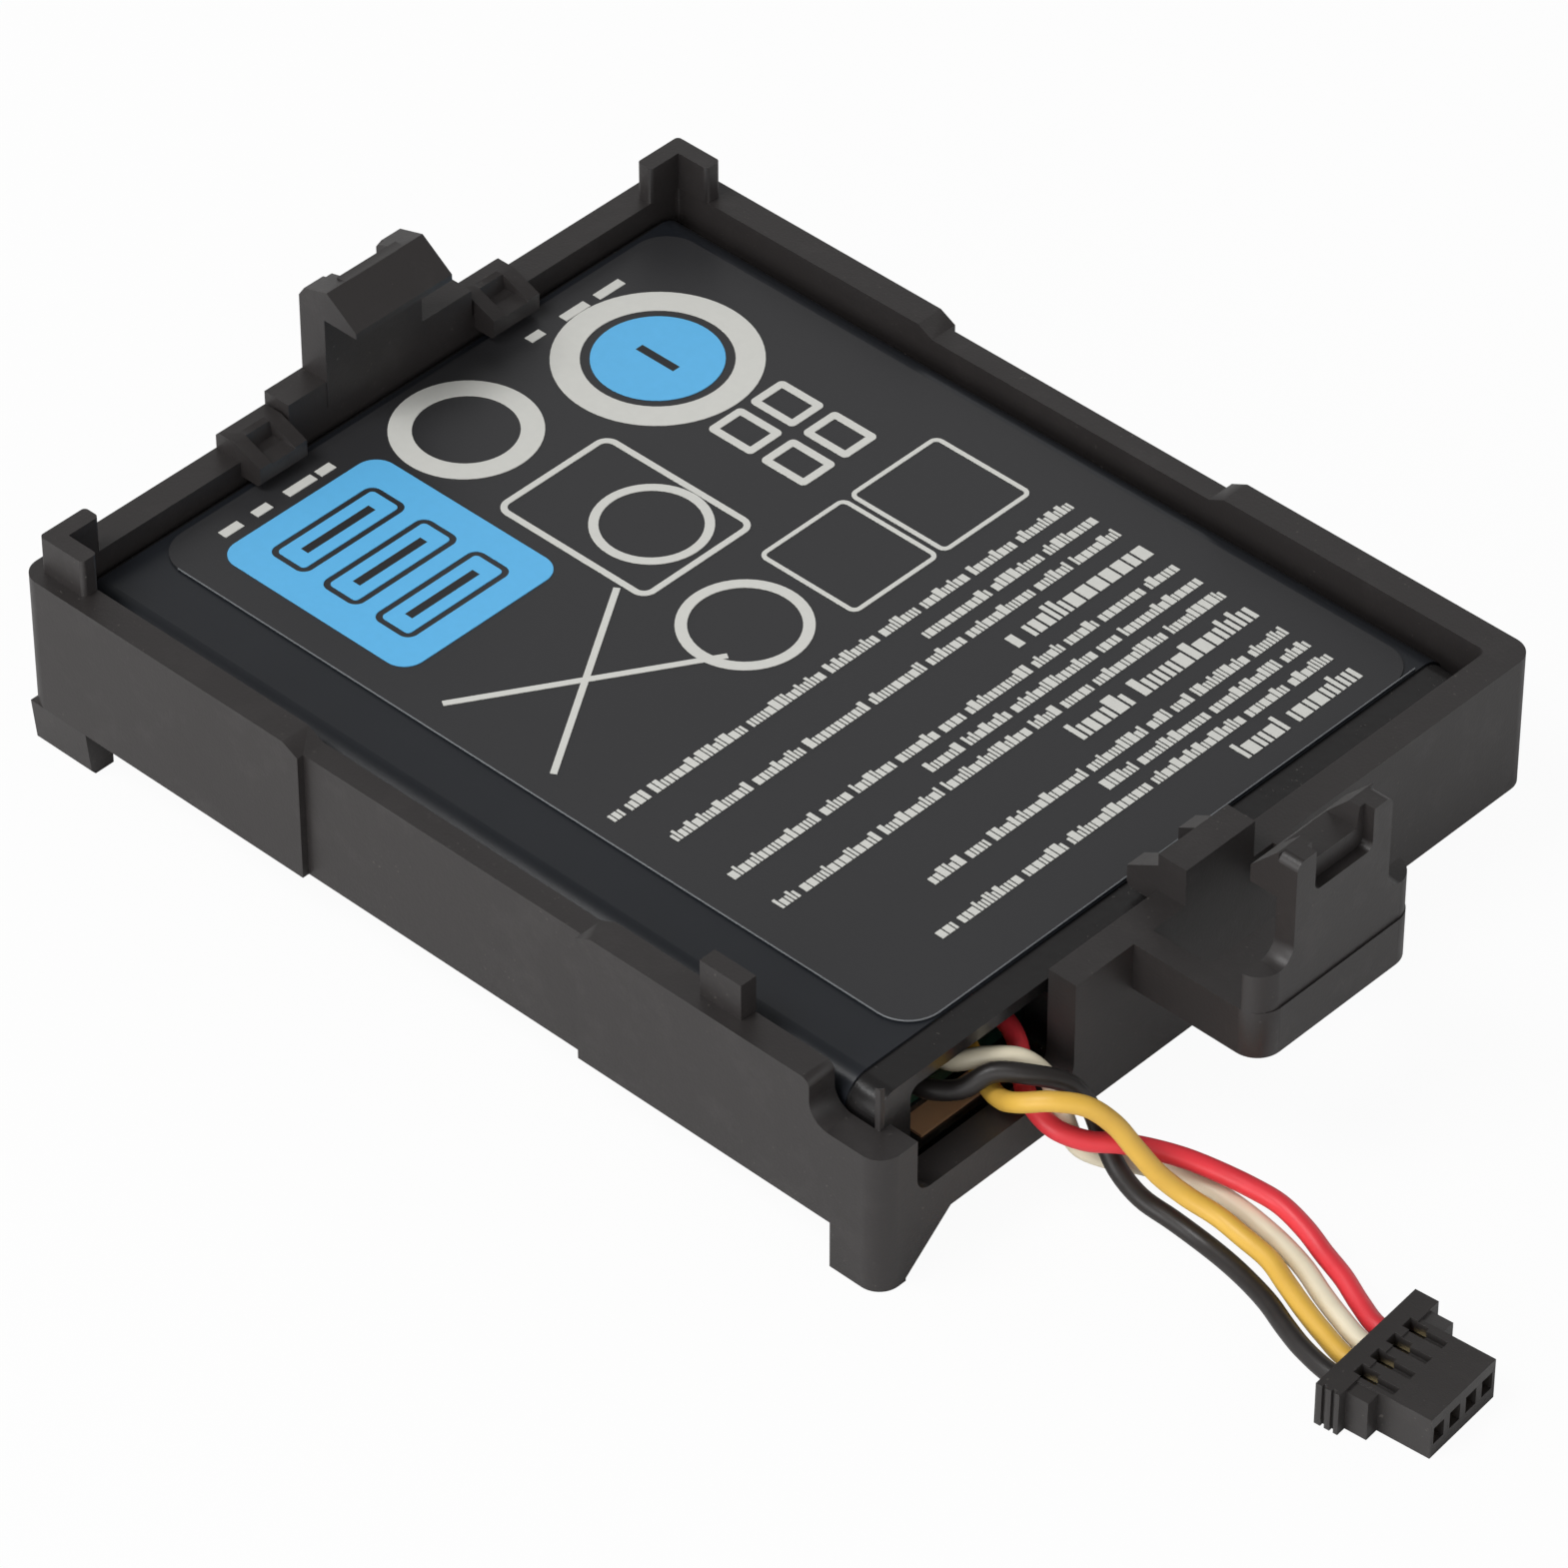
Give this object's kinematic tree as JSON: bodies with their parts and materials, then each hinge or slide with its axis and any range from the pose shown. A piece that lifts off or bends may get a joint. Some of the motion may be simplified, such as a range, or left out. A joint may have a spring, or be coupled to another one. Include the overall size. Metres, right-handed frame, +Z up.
{
  "type": "raid battery module",
  "caption": "Flat rechargeable pack in a black snap-in tray with a fixed hook, a sprung latch and a short wire lead to a small plug.",
  "frame": {"origin": "centre of the tray and its latches in plan, on the plane that the feet stand on", "axes": "+X along the tray towards the sprung latch and the lead, +Y across it, +Z up from the feet to the hooks"},
  "size_m": [0.0818, 0.0458, 0.0188],
  "materials": {
    "tray_plastic": "satin moulded, black",
    "frame_plastic": "glossy moulded, black",
    "cell_metal": "drawn",
    "nickel": "plated strip",
    "seal_plastic": "plain",
    "insulating_paper": "paper",
    "board_laminate": "lacquered",
    "chip_black": "moulded",
    "resistor_black": "glazed",
    "capacitor_tan": "fired ceramic",
    "solder": "bright",
    "amber_film": "clear amber",
    "adhesive": "tacky",
    "foam": "foamed",
    "wrap_film": "satin film, dark",
    "label_film": "printed film, dark grey",
    "ink_blue": "printed",
    "ink_white": "printed",
    "ink_dark": "printed",
    "wire_black": "smooth insulation",
    "wire_yellow": "smooth insulation",
    "wire_white": "smooth insulation",
    "wire_red": "smooth insulation",
    "plug_plastic": "moulded, black",
    "contact_metal": "plated"
  },
  "bodies": {
    "root": {"tray": "tray_plastic", "pack_frame": "frame_plastic", "cell_can": "cell_metal", "cell_cap": "cell_metal", "cell_terminal": "nickel", "terminal_gasket": "seal_plastic", "fill_plug": "cell_metal", "cap_insulator": "insulating_paper", "thermal_cutoff": "nickel", "tab_positive": "nickel", "tab_negative": "nickel", "gauge_board": "board_laminate", "gauge_chip": "chip_black", "switch_chip": "chip_black", "sense_resistor": "resistor_black", "chip_resistors": "resistor_black", "chip_capacitors": "capacitor_tan", "solder_joints": "solder", "board_tape": "amber_film", "adhesive_tape": "adhesive", "foam_pad": "foam", "wrap_film": "wrap_film", "label_sheet": "label_film", "print_blue": "ink_blue", "print_white": "ink_white", "print_dark": "ink_dark", "wire_black": "wire_black", "wire_yellow": "wire_yellow", "wire_white": "wire_white", "wire_red": "wire_red", "plug_housing": "plug_plastic", "crimp_terminals": "contact_metal"}
  },
  "joints": []
}
